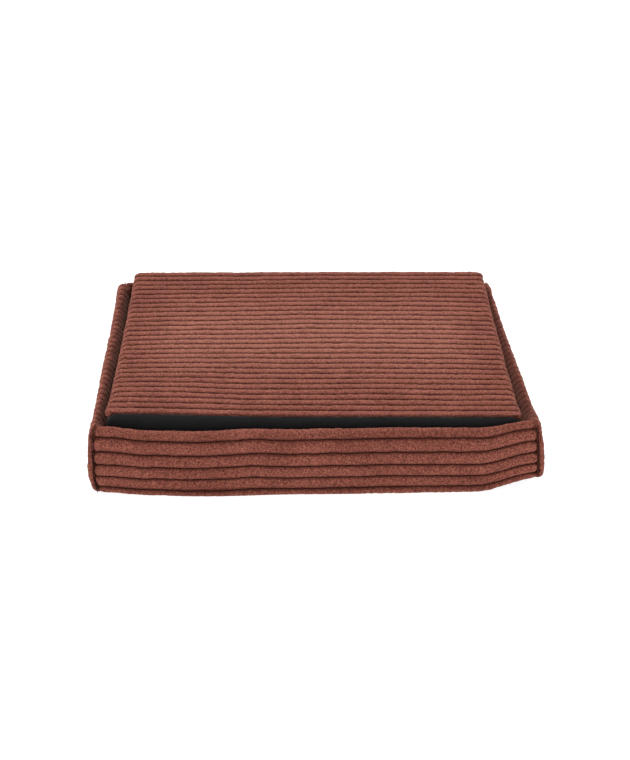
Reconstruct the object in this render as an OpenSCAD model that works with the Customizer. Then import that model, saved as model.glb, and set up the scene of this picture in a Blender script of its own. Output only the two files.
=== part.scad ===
// Corduroy pet cushion bed: a low tray with padded walls, and a loose box cushion with a
// zipped cover lying in it.
// Millimetres. +Z is up, the front faces -Y, and the origin is on the floor under the
// middle of the tray.

/* [Tray] */
// Width of the tray over its side walls
bed_w = 450; // [400:5:600]
// Depth of the tray over its front and back walls
bed_d = 450; // [400:5:600]
// Height of the walls
wall_h = 66; // [60:1:68]
// Thickness of the walls, whose tops are half round
wall_t = 17; // [15:0.5:20]
// Thickness of the foam sheet in the floor
base_pad_t = 8; // [4:1:12]

/* [Cushion] */
// Height of the cushion's top above the ground, at its front edge
top_front_z = 75; // [74:1:80]
// How far the cushion's top rises from its front edge to its back edge
top_rise = 13; // [12:1:24]
// Gap between the cushion and the walls
cushion_gap = 1.5; // [1:0.5:3]
// Radius of the cushion's upright corners
cushion_r = 12; // [6:1:20]
// How far the top panel folds down over the left and right sides
side_fold = 10; // [6:1:16]
// Thickness of the wadding laid over the foam
wadding_t = 10; // [6:1:16]

/* [Zip] */
// Length of the closed chain
zip_len = 370; // [200:10:370]
// Length of the pull tab from its pin to its tip
pull_len = 22; // [16:1:26]

/* [Fabric] */
// Thickness of the ribbed corduroy with its pile
cord_t = 2.5; // [1.5:0.5:3]
// Thickness of the black gusset and the cushion's underside
plain_t = 1.2; // [0.8:0.2:1.2]
// Thickness of the tray's non-slip underside
base_t = 1.5; // [1:0.5:2]

/* [Hidden] */

lining_t = 1;
liner_t = 0.8;
tape_t = 0.6;
gap = 0.3;          // between pieces that lie near each other without touching
far = 1000;         // reach of the solids that only cut

half_w = bed_w / 2;
half_d = bed_d / 2;
inner_w = half_w - wall_t;          // half width of the tray's inside
inner_d = half_d - wall_t;          // half depth of the tray's inside
floor_z = base_t + base_pad_t + lining_t;
seam_x = half_w - wall_t / 2;       // where the end bands meet the side bands
seam_lap = 2.4;                     // thickness of each turned-in seam allowance
seam_w = 10;                        // how far a seam allowance reaches into the wall
seam_gap = 0.8;                     // from the round corner's skin to the seam allowance

cush_w = inner_w - cushion_gap;     // half width of the cushion
cush_d = inner_d - cushion_gap;     // half depth of the cushion
cush_z = floor_z + 0.5;             // underside of the cushion
liner_w = cush_w - cord_t - gap;    // half width of the foam's bag
liner_front = -cush_d + plain_t + gap;
liner_back = cush_d - 4.3;          // it stops short of the zip
liner_r = cushion_r - 2;
liner_z = cush_z + plain_t;

zip_z = 76;                         // middle line of the chain
zip_gap = 1.4;                      // between the two halves, for the slider's web
zip_window = 6;                     // height of the slot that shows the chain
tape_w = 8;
coil_h = 2.1;
coil_t = 2.2;
coil_y = cush_d - plain_t;          // the coils stand on the tapes here
facing_w = zip_len / 2 + 10;        // half length of the strip above the chain

slider_x = zip_len / 2 - 13;        // middle of the slider with the zip shut
slider_len = 10;
plate_t = 1.2;
plate_h = 8.4;
plate_y = coil_y + coil_t + gap;    // inner face of the slider's outer plate
back_plate_y = coil_y - tape_t - gap;
lip_t = 0.8;
web_t = 0.8;
bridge_w = 2.2;
bridge_len = 7;
pin_d = 1.4;
pin_clearance = 0.08;               // round the pull's pin in the bridge
pin_y = plate_y + plate_t + gap + pin_d / 2;
pull_w = 6.4;
pull_window = 4.6;                  // from the pin's middle to the window's far end
pull_hole_d = 2.6;

$fn = 48;
profile_steps = 16;

// ---- shared shapes ----

// Box between two corners
module box(low, high) {
    translate(low) cube(high - low);
}

// Rectangle of half sizes hw and hd with round corners, from z0 to z1
module slab(hw, hd, r, z0, z1) {
    translate([0, 0, z0]) linear_extrude(z1 - z0) {
        square([2 * hw, 2 * (hd - r)], center = true);
        square([2 * (hw - r), 2 * hd], center = true);
        for (sx = [-1, 1], sy = [-1, 1])
            translate([sx * (hw - r), sy * (hd - r)]) circle(r);
    }
}

// All four walls with their half-round tops, shrunk by inset on every side but the bottom
module walls(inset) {
    r = wall_t / 2 - inset;
    mid_w = half_w - wall_t / 2;
    mid_d = half_d - wall_t / 2;
    mid_z = wall_h - wall_t / 2;
    difference() {
        slab(mid_w + r, mid_d + r, r, base_t, mid_z);
        box([-mid_w + r, -mid_d + r, 0], [mid_w - r, mid_d - r, far]);
    }
    for (side = [-1, 1]) {
        translate([0, side * mid_d, mid_z])
            rotate([0, 90, 0]) cylinder(h = 2 * mid_w, r = r, center = true);
        translate([side * mid_w, 0, mid_z])
            rotate([90, 0, 0]) cylinder(h = 2 * mid_d, r = r, center = true);
        for (end = [-1, 1])
            translate([side * mid_w, end * mid_d, mid_z]) sphere(r);
    }
}

// Height of the cushion's top at y: level at the front, rising towards the back
function top_z(y) = top_front_z + top_rise * pow((y + cush_d) / (2 * cush_d), 2);

// Everything between z0 and the cushion's top less drop
module under_top(drop, z0) {
    top_line = [for (i = [0 : profile_steps])
        let (y = -cush_d + 2 * cush_d * i / profile_steps) [y, top_z(y) - drop]];
    profile = concat(
        [[-far / 2, z0], [-far / 2, top_z(-cush_d) - drop]],
        top_line,
        [[far / 2, top_z(cush_d) - drop], [far / 2, z0]]
    );
    rotate([90, 0, 90]) translate([0, 0, -far / 2]) linear_extrude(far) polygon(profile);
}

// Upright block with the cushion's outline, up to its top less drop
module cushion_block(z0, drop) {
    intersection() {
        slab(cush_w, cush_d, cushion_r, z0, far / 2);
        under_top(drop, 0);
    }
}

// ---- tray ----

module base_fabric() {
    color("#1d1c1d") slab(half_w, half_d, wall_t / 2, 0, base_t);
}

module base_pad() {
    color("#d8d2c0") box([-inner_w, -inner_d, base_t], [inner_w, inner_d, base_t + base_pad_t]);
}

module floor_lining() {
    color("#232223")
        box([-inner_w, -inner_d, base_t + base_pad_t], [inner_w, inner_d, floor_z]);
}

// Upright block over an end wall, cut on the slant at its seams; end is -1 at the front
module end_region(end) {
    linear_extrude(far) polygon([
        [-inner_w, end * inner_d], [inner_w, end * inner_d],
        [seam_x, end * half_d], [seam_x, end * far],
        [-seam_x, end * far], [-seam_x, end * half_d]
    ]);
}

// Skin over the walls: outside, over the top and down the inside
module wall_skin() {
    difference() {
        walls(0);
        walls(cord_t);
    }
}

module end_band(end) {
    color("#8f4b40") intersection() {
        wall_skin();
        end_region(end);
    }
}

module side_band(side) {
    color("#864338") difference() {
        wall_skin();
        end_region(-1);
        end_region(1);
        box([side > 0 ? -far : 0, -far, -far], [side > 0 ? 0 : far, far, far]);
    }
}

// Foam inside a wall, clear of the turned-in seams
module end_foam(end) {
    reach = seam_x - seam_lap - 0.6;
    color("#e9e2cc") intersection() {
        walls(cord_t);
        box([-reach, end > 0 ? 0 : -far, 0], [reach, end > 0 ? far : 0, far]);
        end_region(end);
    }
}

module side_foam(side) {
    color("#e9e2cc") intersection() {
        walls(cord_t);
        box([side > 0 ? 0 : -far, -inner_d, 0], [side > 0 ? far : 0, inner_d, far]);
    }
}

// Two layers turned in along the upright seam at each corner, up to where the top rounds
module corner_seams() {
    seam_y = half_d - cord_t - seam_gap - seam_w;
    color("#7a3b32") for (sx = [-1, 1], sy = [-1, 1])
        translate([sx * seam_x, 0, 0]) mirror([0, sy > 0 ? 0 : 1, 0])
            box([-seam_lap, seam_y, base_t], [seam_lap, seam_y + seam_w, wall_h - wall_t / 2]);
}

// ---- cushion ----

module cushion_bottom() {
    color("#1a1a1b") slab(cush_w, cush_d, cushion_r, cush_z, liner_z);
}

// Space of the top panel's folded-down left and right edges, and all above it
module fold_region() {
    difference() {
        box([-far, -far, 0], [far, far, far]);
        under_top(cord_t + side_fold, -1);
        box([-cush_w + cord_t, -far, -far], [cush_w - cord_t, far, far]);
    }
}

module cushion_top() {
    color("#96503f") difference() {
        cushion_block(cush_z, 0);
        difference() {
            under_top(cord_t, -1);
            fold_region();
        }
    }
}

// Upright sides of the cover, all round
module side_cloth(z0) {
    difference() {
        cushion_block(z0, cord_t);
        slab(cush_w - plain_t, cush_d - plain_t, cushion_r - plain_t, -far, far);
        fold_region();
    }
}

module gusset() {
    color("#19191a") difference() {
        side_cloth(liner_z);
        box([-facing_w, 0, zip_z - zip_window / 2], [facing_w, far, far]);
    }
}

// Strip of gusset above the zip
module zip_facing() {
    color("#19191a") intersection() {
        side_cloth(liner_z);
        box([-facing_w, 0, zip_z + zip_window / 2], [facing_w, far, far]);
    }
}

// Space that the foam's bag fills, shrunk by inset all round, up to drop under the top
module filling(inset, drop) {
    intersection() {
        translate([0, (liner_front + liner_back) / 2, 0])
            slab(liner_w - inset, (liner_back - liner_front) / 2 - inset, liner_r - inset,
                 liner_z + inset, far / 2);
        under_top(drop, -1);
    }
}

module foam_core() {
    color("#ece6d2") filling(liner_t, cord_t + liner_t + wadding_t);
}

module wadding() {
    color("#f4f4f2") difference() {
        filling(liner_t, cord_t + liner_t);
        under_top(cord_t + liner_t + wadding_t, -1);
    }
}

// Thin closed bag round the foam and wadding
module foam_liner() {
    color("#e4e4e1") difference() {
        filling(0, cord_t);
        filling(liner_t, cord_t + liner_t);
    }
}

// ---- zip ----

// One half of the tape; up is 1 above the chain and -1 below
module zip_tape(up) {
    mid = zip_z + up * (zip_gap + tape_w) / 2;
    color("#151516") translate([0, coil_y - tape_t / 2, mid])
        cube([zip_len + 12, tape_t, tape_w], center = true);
}

module zip_coil(up) {
    mid = zip_z + up * (zip_gap + coil_h) / 2;
    color("#101011") translate([0, coil_y + coil_t / 2, mid])
        cube([zip_len, coil_t, coil_h], center = true);
}

// Metal clip across each end of the chain
module zip_stops() {
    color("#9a9a9e") for (side = [-1, 1])
        translate([side * (zip_len / 2 + 1), coil_y + coil_t / 2, zip_z])
            cube([2, coil_t, zip_gap + 2 * coil_h], center = true);
}

// Two plates joined by a web between the coils, and a bridge bored for the pull's pin
module zip_slider() {
    half = slider_len / 2;
    rim = plate_h / 2;
    bridge_top = pin_y + pin_d / 2 + 1.4;
    color("#2a2a2c") translate([slider_x, 0, zip_z]) {
        box([-half, plate_y, -rim], [half, plate_y + plate_t, rim]);
        for (up = [-1, 1])
            translate([0, 0, up * (rim - lip_t / 2)])
                box([-half, cush_d + 0.4, -lip_t / 2], [half, plate_y, lip_t / 2]);
        difference() {
            box([-bridge_len / 2, plate_y + plate_t, -bridge_w / 2],
                [bridge_len / 2, bridge_top, bridge_w / 2]);
            translate([0, pin_y, 0])
                cylinder(h = far, d = pin_d + 2 * pin_clearance, center = true);
        }
        box([half - 3, back_plate_y, -web_t / 2], [half, plate_y, web_t / 2]);
        box([-half, back_plate_y - plate_t, -rim + 1], [half, back_plate_y, rim - 1]);
    }
}

// Flat tab with a window round the bridge, and the pin across it
module zip_pull() {
    tip = -pull_len + pull_w / 2;
    color("#2a2a2c") translate([slider_x, pin_y, zip_z]) {
        cylinder(h = pull_w, d = pin_d, center = true);
        difference() {
            union() {
                box([tip, -pin_d / 2, -pull_w / 2], [0, pin_d / 2, pull_w / 2]);
                translate([tip, 0, 0])
                    rotate([90, 0, 0]) cylinder(h = pin_d, d = pull_w, center = true);
            }
            box([-pull_window, -far, -bridge_w / 2 - 0.4], [far, far, bridge_w / 2 + 0.4]);
            translate([tip, 0, 0])
                rotate([90, 0, 0]) cylinder(h = far, d = pull_hole_d, center = true);
        }
    }
}

base_fabric();
base_pad();
floor_lining();
end_foam(-1);  // front_foam
end_foam(1);  // back_foam
side_foam(-1);  // left_foam
side_foam(1);  // right_foam
end_band(-1);  // front_band
end_band(1);  // back_band
side_band(-1);  // left_band
side_band(1);  // right_band
corner_seams();
cushion_top();
cushion_bottom();
gusset();
zip_facing();
foam_core();
wadding();
foam_liner();
zip_tape(1);  // zip_tape_upper
zip_tape(-1);  // zip_tape_lower
zip_coil(1);  // zip_coil_upper
zip_coil(-1);  // zip_coil_lower
zip_stops();
zip_slider();
zip_pull();
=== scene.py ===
"""The looks of the corduroy pet cushion bed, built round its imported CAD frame.

Shapes are worked out in millimetres, in the frame's axes, and turned into metres as each mesh is made.
"""

import math

import bmesh
import bpy
import numpy as np
from mathutils import Matrix, Vector


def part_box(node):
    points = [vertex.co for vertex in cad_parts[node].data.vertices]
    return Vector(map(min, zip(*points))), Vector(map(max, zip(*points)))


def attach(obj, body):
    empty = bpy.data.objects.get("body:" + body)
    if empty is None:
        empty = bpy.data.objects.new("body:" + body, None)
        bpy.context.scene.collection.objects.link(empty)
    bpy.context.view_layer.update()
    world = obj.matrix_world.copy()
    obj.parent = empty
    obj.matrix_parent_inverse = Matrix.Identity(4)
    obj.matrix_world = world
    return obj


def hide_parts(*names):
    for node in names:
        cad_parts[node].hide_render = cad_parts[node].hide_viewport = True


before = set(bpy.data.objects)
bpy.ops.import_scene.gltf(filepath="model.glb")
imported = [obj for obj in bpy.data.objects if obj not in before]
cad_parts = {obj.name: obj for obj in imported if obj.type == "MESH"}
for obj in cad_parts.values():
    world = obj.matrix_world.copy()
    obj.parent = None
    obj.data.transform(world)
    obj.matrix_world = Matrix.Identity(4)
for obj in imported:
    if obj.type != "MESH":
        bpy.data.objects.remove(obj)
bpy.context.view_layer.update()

MM = 0.001


# ---------- sizes, from the frame ----------


def span(node):
    """A CAD node's lowest and highest corner, in millimetres."""
    return [np.array(corner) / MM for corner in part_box(node)]


def front_height(node):
    """The highest point of a CAD node along its front edge."""
    points = np.array([v.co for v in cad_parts[node].data.vertices]) / MM
    return points[points[:, 1] < points[:, 1].min() + 1, 2].max()


BASE_HIGH = span("base_fabric")[1]
BAND_LOW, BAND_HIGH = span("front_band")
TOP_HIGH = span("cushion_top")[1]
FACING_LOW, FACING_HIGH = span("zip_facing")
COIL_LOW, COIL_HIGH = span("zip_coil_upper")
LOWER_COIL_HIGH = span("zip_coil_lower")[1]
SLIDER_LOW, SLIDER_HIGH = span("zip_slider")
PULL_LOW, PULL_HIGH = span("zip_pull")

HALF_W, HALF_D = BASE_HIGH[0], BASE_HIGH[1]
WALL_H = BAND_HIGH[2]
WALL_T = BAND_HIGH[1] - BAND_LOW[1]
WALL_R = WALL_T / 2
INNER_W, INNER_D = HALF_W - WALL_T, HALF_D - WALL_T
FLOOR_Z = span("floor_lining")[1][2]
CUSH_W, CUSH_D = TOP_HIGH[0], TOP_HIGH[1]
CUSH_Z = span("cushion_bottom")[0][2]
FRONT_Z, BACK_Z = front_height("cushion_top"), TOP_HIGH[2]
ZIP_Z = (COIL_LOW[2] + LOWER_COIL_HIGH[2]) / 2
ZIP_HALF = COIL_HIGH[0]

RIB = 13.6  # width of one corduroy rib
CUSH_R = 12  # the cushion's upright corners
EDGE_R = 5  # rolled edges of the cushion's panels
TURN_R = 4.5  # plan radius of the tray's stuffed corners
SEAM_X = HALF_W - TURN_R  # the upright corner seams


# ---------- mesh tools ----------


def smooth(t):
    """0 to 1 as t goes from 0 to 1, level at both ends."""
    t = np.clip(t, 0, 1)
    return t * t * (3 - 2 * t)


def ramp(value, start, width):
    """0 up to start, then a smooth rise to 1 over width."""
    return smooth((value - start) / width)


def cloth_noise(points, size, seed):
    """Smooth random values from -1 to 1 at points in millimetres, with lumps of that size."""
    q = np.asarray(points, float) / size
    cell = np.floor(q).astype(np.int64)
    f = q - cell
    f = f * f * (3 - 2 * f)

    def corner(dx, dy, dz):
        n = (cell[..., 0] + dx) * 73856093 ^ (cell[..., 1] + dy) * 19349663
        n = n ^ (cell[..., 2] + dz) * 83492791 ^ seed * 2654435761
        n = (n ^ n >> 13) * 1274126177 & 0x7FFFFFFF
        return ((n ^ n >> 15) & 0xFFFF) / 32767.5 - 1

    def along(dy, dz):
        a, b = corner(0, dy, dz), corner(1, dy, dz)
        return a + (b - a) * f[..., 0]

    low = along(0, 0) + (along(1, 0) - along(0, 0)) * f[..., 1]
    high = along(0, 1) + (along(1, 1) - along(0, 1)) * f[..., 1]
    return low + (high - low) * f[..., 2]


def mesh_object(name, points, faces, values=None):
    """A smooth-shaded object from points in millimetres and faces of one kind. values are kept by point."""
    points = np.reshape(points, (-1, 3))
    faces = np.asarray(faces)
    sides = faces.shape[1]
    mesh = bpy.data.meshes.new(name)
    mesh.vertices.add(len(points))
    mesh.vertices.foreach_set("co", (points * MM).astype(np.float32).ravel())
    mesh.loops.add(faces.size)
    mesh.loops.foreach_set("vertex_index", faces.astype(np.int32).ravel())
    mesh.polygons.add(len(faces))
    mesh.polygons.foreach_set("loop_start", np.arange(0, faces.size, sides, dtype=np.int32))
    for key, each in (values or {}).items():
        layer = mesh.attributes.new(key, "FLOAT", "POINT")
        layer.data.foreach_set("value", np.asarray(each, np.float32).ravel())
    mesh.update(calc_edges=True)
    mesh.validate()
    mesh.shade_smooth()
    obj = bpy.data.objects.new(name, mesh)
    bpy.context.scene.collection.objects.link(obj)
    return obj


def stand_for(obj, node):
    """Shows obj in place of a CAD node."""
    obj.name = node + "_look"
    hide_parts(node)
    return obj


def look(node, points, faces, values=None):
    """A new mesh object shown in place of a CAD node."""
    return stand_for(mesh_object(node, points, faces, values), node)


def mended(obj, reach=0.0, sides=0):
    """Merges points closer than reach millimetres, fills holes of that many sides, turns faces outward."""
    bm = bmesh.new()
    bm.from_mesh(obj.data)
    if reach:
        bmesh.ops.remove_doubles(bm, verts=bm.verts, dist=reach * MM)
    if sides:
        bmesh.ops.holes_fill(bm, edges=[e for e in bm.edges if e.is_boundary], sides=sides)
    bmesh.ops.recalc_face_normals(bm, faces=bm.faces)
    bm.to_mesh(obj.data)
    bm.free()
    return obj


def grid_faces(rows, cols, wrap=False, keep=None, start=0):
    """Quads of a grid of points. keep marks the cells to make; wrap joins the last column to the first."""
    across = cols if wrap else cols - 1
    r, c = np.meshgrid(np.arange(rows - 1), np.arange(across), indexing="ij")
    n = (c + 1) % cols
    faces = np.stack([r * cols + c, r * cols + n, (r + 1) * cols + n, (r + 1) * cols + c], -1)
    return (faces[keep] if keep is not None else faces.reshape(-1, 4)).reshape(-1, 4) + start


def grid_normals(points, wrap=False):
    """Unit normals of a grid of points, by its rows and columns."""
    if wrap:
        padded = np.concatenate([points[:, -1:], points, points[:, :1]], 1)
        by_col = (padded[:, 2:] - padded[:, :-2]) / 2
    else:
        by_col = np.gradient(points, axis=1)
    n = np.cross(by_col, np.gradient(points, axis=0))
    return n / np.maximum(np.linalg.norm(n, axis=-1, keepdims=True), 1e-9)


def gathered(parts):
    """Points and faces of several small meshes, as one."""
    starts = np.cumsum([0] + [len(points) for points, _ in parts[:-1]])
    faces = [each + start for (_, each), start in zip(parts, starts)]
    return np.concatenate([points for points, _ in parts]), np.concatenate(faces)


def steps(start, stop, size):
    """Even steps of about that size from start to stop."""
    return np.linspace(start, stop, max(2, int(round((stop - start) / size)) + 1))


# ---------- corduroy ----------

RIB_STEPS = np.array([0, 0.025, 0.06, 0.12, 0.22, 0.36, 0.5, 0.64, 0.78, 0.88, 0.94, 0.975])
RIB_DEPTH = 3.3
RIB_MEAN = 0.8  # the share of a rib's height that lies under the cloth's own surface


def rib_places(start, stop, first):
    """Places to sample between start and stop, close together at the grooves. first is a groove."""
    count = np.arange(math.floor((start - first) / RIB), math.ceil((stop - first) / RIB) + 1)
    places = (first + RIB * (count[:, None] + RIB_STEPS)).ravel()
    places = places[(places > start + 0.2) & (places < stop - 0.2)]
    return np.concatenate([[start], places, [stop]])


def rib_height(place, first, end=0.0):
    """0 in a groove and 1 on the crown of a rib. end goes from 0 to 1 where the rib comes to its end."""
    x = np.abs(2 * (((place - first) / RIB) % 1.0) - 1)
    return np.maximum(1 - x**2.7 - end**2, 0) ** 0.68


def wobble(points, seed):
    """How far a groove wanders from its straight line."""
    return 0.3 * cloth_noise(points, 16, seed) + 0.22 * cloth_noise(points, 5, seed + 1)


def pile(points, rib, seed=0):
    """Points pushed out into ribs with an uneven, tufted pile. rib is the height on the rib, 0 to 1."""
    n = grid_normals(points)
    tufts = 0.5 * cloth_noise(points, 2.2, seed) + 0.22 * cloth_noise(points, 6, seed + 1)
    slow = 0.18 * cloth_noise(points, 28, seed + 2)
    height = (rib * (1 + 0.1 * cloth_noise(points, 17, seed + 3)) - RIB_MEAN) * RIB_DEPTH
    return points + n * (height + (tufts + slow) * (0.3 + 0.7 * rib))[..., None]


# ---------- blocks of foam ----------

JOINED = 0.02  # points closer than this are one point


def block_points(low, high, radius, size):
    """Points and quads of a closed box with round edges, in millimetres."""
    low, high = np.array(low, float), np.array(high, float)
    radius = min(radius, (high - low).min() / 2 - 0.01)
    parts = []
    for axis in range(3):
        a, b = (axis + 1) % 3, (axis + 2) % 3
        for side in (0, 1):
            rim = radius * np.array([0, 0.3, 0.65])
            lines = []
            for k in (a, b):
                inner = steps(low[k] + radius, high[k] - radius, size)
                lines.append(np.concatenate([low[k] + rim, inner, high[k] - rim[::-1]]))
            u, v = np.meshgrid(*lines, indexing="ij")
            p = np.zeros((*u.shape, 3))
            p[..., axis] = (low, high)[side][axis]
            p[..., a], p[..., b] = u, v
            core = np.clip(p, low + radius, high - radius)
            away = p - core
            p = core + radius * away / np.maximum(np.linalg.norm(away, axis=-1, keepdims=True), 1e-9)
            faces = grid_faces(*u.shape)
            parts.append((p.reshape(-1, 3), faces if side == 0 else faces[:, ::-1]))
    return gathered(parts)


def block(node, low, high, radius, size, shape):
    """A closed block of foam or cloth, bent by shape(points), in place of a CAD node."""
    points, faces = block_points(low, high, radius, size)
    return stand_for(mended(mesh_object(node, shape(points), faces), JOINED), node)


# ---------- the tray ----------

MID_Z = WALL_H - WALL_R  # the wall's top starts to round here
FOOT_R = 4
WALL_BULGE = 1.8
SEAM_PINCH = 0.7
SIDE_CREST = 5  # the side walls' highest line lies nearer to their outside
SIDE_DROP = 21  # and from there they fall away towards the cushion
FOOT_TUCK = 2.5
PAINTED_FOOT_SHADE = 0.15  # painted shade: the pile's colour is darker at the foot, where the lowest rib faces down into shade
HEM = 3.5  # the walls' cloth goes on down behind the lining
LOWEST = 0.05  # the walls' cloth stays this far above the floor under the bed
SEAM_HEM, SEAM_LEAN = 3.0, 0.8  # at the upright seams it turns in, and the two turned edges cross

# The cushion lies a little turned in its tray, and presses on the walls at two corners.
SKEW = 3.2
SQUEEZE = 3.4
LEAN = 2.6  # and its right side leans out over the wall

# Places along the front where the ribs wander up or down: place, width and rise.
FRONT_RIPPLE = ((-118, 34, -1.6), (-62, 22, 1.3), (-20, 20, -0.5), (75, 42, 1.4), (145, 42, 1.2))
# Where the front's foot pushes out: place, width and distance.
FOOT_SPREAD = ((-112, 62, 6.5), (20, 110, 3.5), (-205, 30, 2.5))


def wall_profile(crest, drop):
    """A wall's section from its foot outside to the tray's floor inside: length of cloth, and place."""
    turn = np.linspace(0, math.pi / 2, 40)
    foot = np.stack([FOOT_R * (1 - np.sin(turn)), FOOT_R * (1 - np.cos(turn))], -1)
    outer = np.stack([crest * (1 - np.cos(turn)), MID_Z + WALL_R * np.sin(turn)], -1)
    inner = np.stack([crest + (WALL_T - crest) * np.sin(turn), WALL_H - drop * (1 - np.cos(turn))], -1)
    line = np.concatenate([foot, outer, inner[1:], [[WALL_T, FLOOR_Z - HEM]]])
    length = np.concatenate([[0], np.cumsum(np.hypot(*np.diff(line, axis=0).T))])
    return length, line


def wall_section(cloth, profile):
    """Share across the wall from outside to inside, and height, at a length of cloth from its foot."""
    length, line = profile
    return np.interp(cloth, length, line[:, 0]) / WALL_T, np.interp(cloth, length, line[:, 1])


def face_bulge(across, z):
    """How far the stuffed wall's outer face swells."""
    return WALL_BULGE * np.sin(math.pi * np.clip(z / MID_Z, 0, 1)) * np.clip(1 - 2 * across, 0, 1)


def seam_pull(distance):
    """How far cloth is drawn in beside a seam."""
    near = 1 - np.clip(distance / 4, 0, 1)
    return SEAM_PINCH * (1 - np.sqrt(1 - near * near))


def seam_fade(distance):
    """Ribs round off where they run into a seam."""
    near = 1 - np.clip(distance / 4.2, 0, 1)
    return np.sqrt(1 - near**2.2)


def above_floor(points):
    """Pile that would reach below the floor lies flat on it."""
    points[..., 2] = np.maximum(points[..., 2], LOWEST)
    return points


def above_lining(from_end):
    """The least height of pile where a wall meets the lining, at a length from its cloth's inner edge."""
    return RIB_MEAN * smooth((HEM + 3 - from_end) / 2)


def turned_in(points, shade, axis, lean):
    """A wall's cloth with its ends turned in behind the upright seams, tipped across them by lean."""
    inward = points - SEAM_HEM * grid_normals(points)
    inward[..., 0] += lean * np.sign(points[..., 0])
    hems = [inward.take([k], axis) for k in (0, -1)]
    margin = [(0, 0), (0, 0)]
    margin[axis] = (1, 1)
    return above_floor(np.concatenate([hems[0], points, hems[1]], axis)), np.pad(shade, margin, mode="edge")


def bumps(x, places):
    """The sum of smooth bumps along x."""
    return sum(rise * np.exp(-(((x - place) / width) ** 2)) for place, width, rise in places)


WALL_BEND = 196  # the tray lies flat out to here, and beyond it the soft walls' shape starts
WALL_WAVE, TOP_WAVE = 0.7, 0.5  # slow unevenness of the stuffed walls
RIGHT_LIFT, RIGHT_SAG = 12.5, 4.5  # the front right corner's rise from the floor, its rim's a little less
LEFT_LIFT, LEFT_RIM = 1.8, 2.4  # the front left corner's rise, its rim's more
RIGHT_OUT, LEFT_OUT = 6, 3.5  # how far the front's corners stand forward
RIGHT_FOOT, RIGHT_TILT = 3.4, 4.2  # the right corner's foot stands out, and its rim leans in
BACK_RISE = 5.5  # the rim's rise at the back corners
FRONT_PRESS = 2.4  # the cushion presses the front wall out at its right end


def settle(points, slope=14):
    """The tray's points where its soft walls really lie. slope is how wide a strip the lifted corner bends.

    The front ripples and its right corner is lifted, the walls rise at the back corners,
    and the turned cushion presses the left wall out at the front and the right wall out behind.
    """
    x, y, z = points[..., 0], points[..., 1], points[..., 2]
    on_front = ramp(-y, WALL_BEND, slope)
    on_side = ramp(np.abs(x), WALL_BEND + 2, slope - 2)
    in_wall = np.maximum(on_side, np.maximum(on_front, ramp(y, WALL_BEND, slope)))
    high = np.clip(z / WALL_H, 0, 1)
    low = smooth(1 - z / 18)
    right = ramp(x, 158, 62) * ramp(-y, 150, 64) * in_wall
    left = ramp(-x, 165, 50) * ramp(-y, 165, 50) * in_wall
    behind = ramp(y, 140, 80) * ramp(np.abs(x), 150, 60) * in_wall
    outer_x = ramp(np.abs(x), INNER_W, WALL_T)
    outer_y = ramp(-y, INNER_D, WALL_T)
    inner_y = 1 - ramp(np.abs(y), INNER_D, WALL_T)
    loose = in_wall * np.clip(z / 14, 0, 1)
    pressed = np.where(x < 0, -ramp(-y, -60, 260), 0.6 + 0.6 * ramp(y, -60, 260))
    foot = bumps(x, FOOT_SPREAD) * smooth(1 - z / 13) * outer_y
    moved = points.copy()
    moved[..., 0] += WALL_WAVE * cloth_noise(points, 75, 41) * loose
    moved[..., 0] += SQUEEZE * pressed * (1 - outer_x) * on_side * loose
    moved[..., 0] -= np.sign(x) * FOOT_TUCK * (1 - 0.8 * right) * low * outer_x
    moved[..., 0] += right * (RIGHT_FOOT - RIGHT_TILT * high)
    moved[..., 1] += WALL_WAVE * cloth_noise(points, 75, 42) * loose
    moved[..., 1] += outer_y * (RIGHT_OUT * right + LEFT_OUT * left) - foot
    moved[..., 1] -= FRONT_PRESS * smooth(x / INNER_W) * inner_y * on_front * loose
    moved[..., 2] += bumps(x, FRONT_RIPPLE) * on_front * np.clip(z / 12, 0, 1)
    moved[..., 2] += right * (RIGHT_LIFT - RIGHT_SAG * high**2) + left * (LEFT_LIFT + LEFT_RIM * high**2)
    moved[..., 2] += behind * BACK_RISE * high + TOP_WAVE * cloth_noise(points, 60, 43) * loose
    return moved


# Lengths of cloth at which the front and back walls' grooves lie, from the foot over the rim to the lining.
GROOVES = np.array([0, 9.0, 19.8, 32.3, 45.4, 60.0, 77.4, 91, 104.6, 118.2, 131.8, 145.4])
FIRST_GROOVE = 9.0
EVEN = FIRST_GROOVE + RIB * np.arange(-1, len(GROOVES) - 1)
EVEN[0] = 0


SEAM_RISE = 0.3  # the share of its height that the pile keeps at an upright seam
RIM_RISE = 0.8  # and at the same seam's upper end, over the rim


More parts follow.
